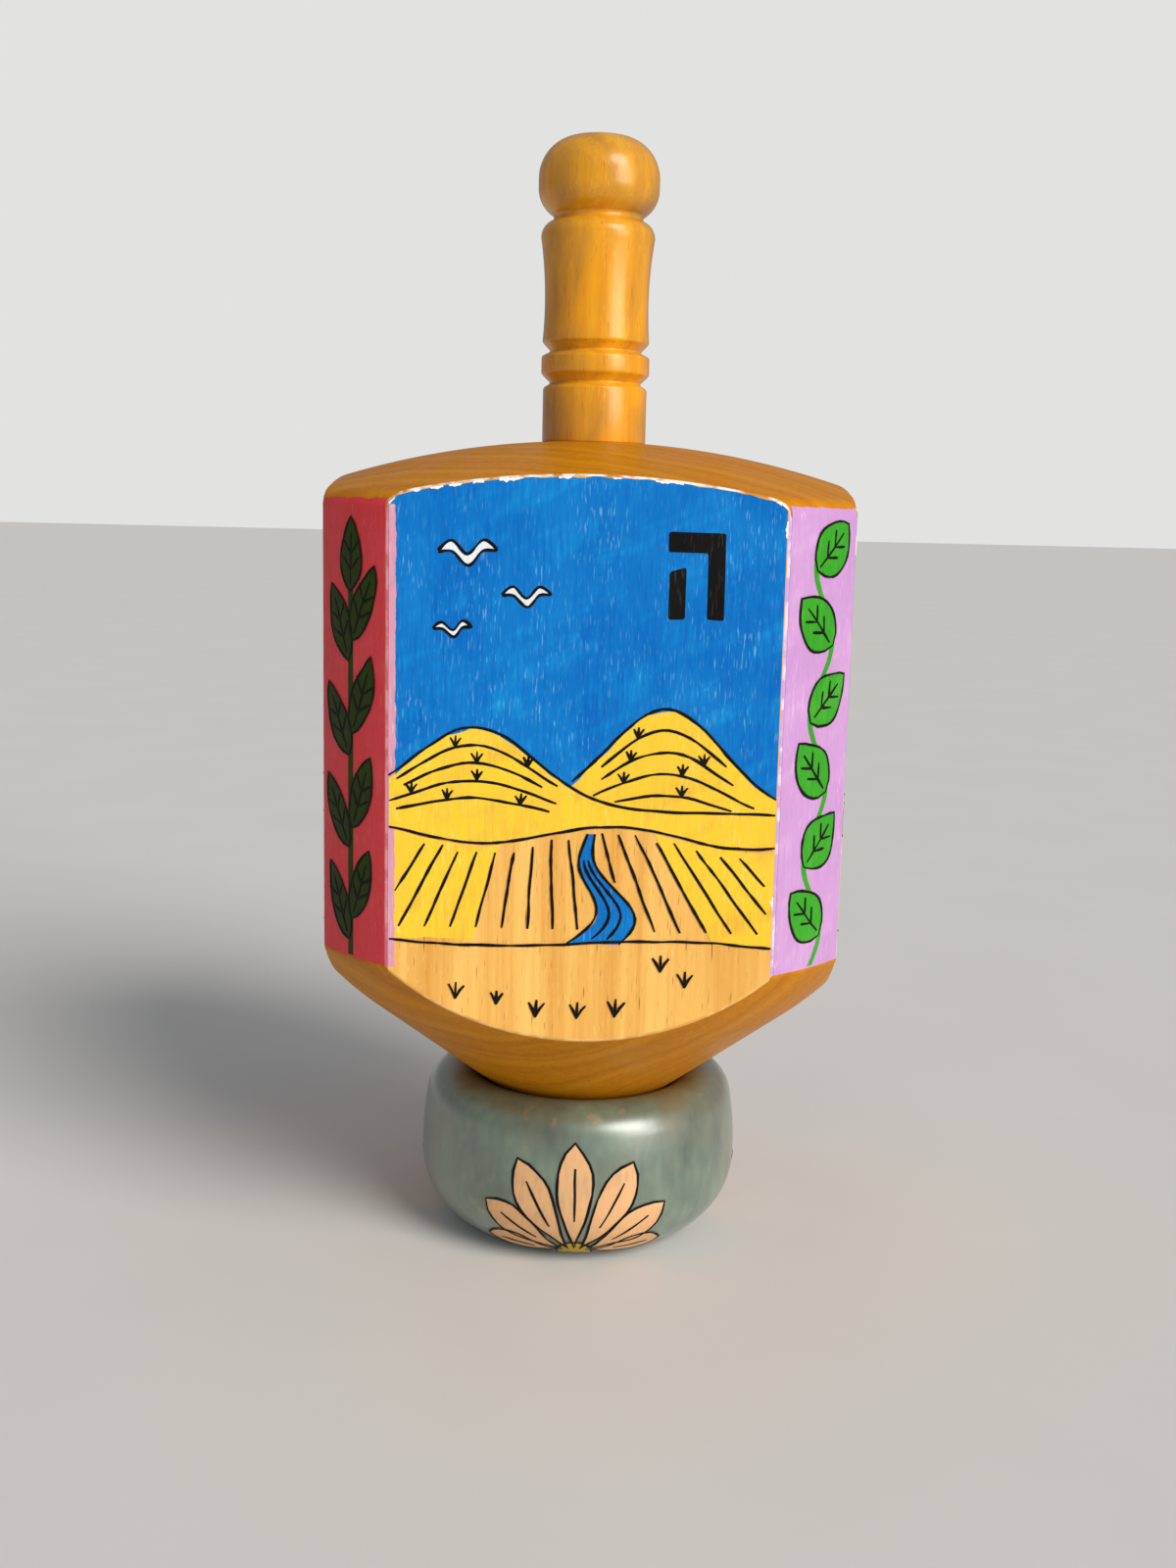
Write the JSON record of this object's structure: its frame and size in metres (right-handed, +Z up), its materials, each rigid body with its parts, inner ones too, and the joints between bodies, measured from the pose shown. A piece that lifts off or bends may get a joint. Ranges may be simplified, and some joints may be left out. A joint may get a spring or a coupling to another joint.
{
  "type": "dreidel",
  "caption": "Square-sided wooden spinning top with a domed top, conical point and turned finger handle, standing point down in a turned cup stand.",
  "frame": {"origin": "centre of the stand's foot, on the surface it stands on", "axes": "+Z up along the axis that the dreidel spins about, -Y out of the flat face that the picture shows, +X to the right of that face"},
  "size_m": [0.06, 0.06, 0.1367],
  "materials": {
    "body_wood": "amber varnish on the turned ends, painted and varnished flat faces and corner strips",
    "handle_wood": "amber varnish, satin",
    "stand_paint": "grey-green paint over turned wood, satin varnish, bare wood in the cup"
  },
  "bodies": {
    "stand": {"stand": "stand_paint"},
    "dreidel": {"body": "body_wood", "handle": "handle_wood"}
  },
  "joints": [
    {"name": "spin", "type": "hinge", "parent": "stand", "child": "dreidel", "pos_m": [0, 0, 0.0104], "axis": [0, 0, 1], "continuous": true}
  ]
}
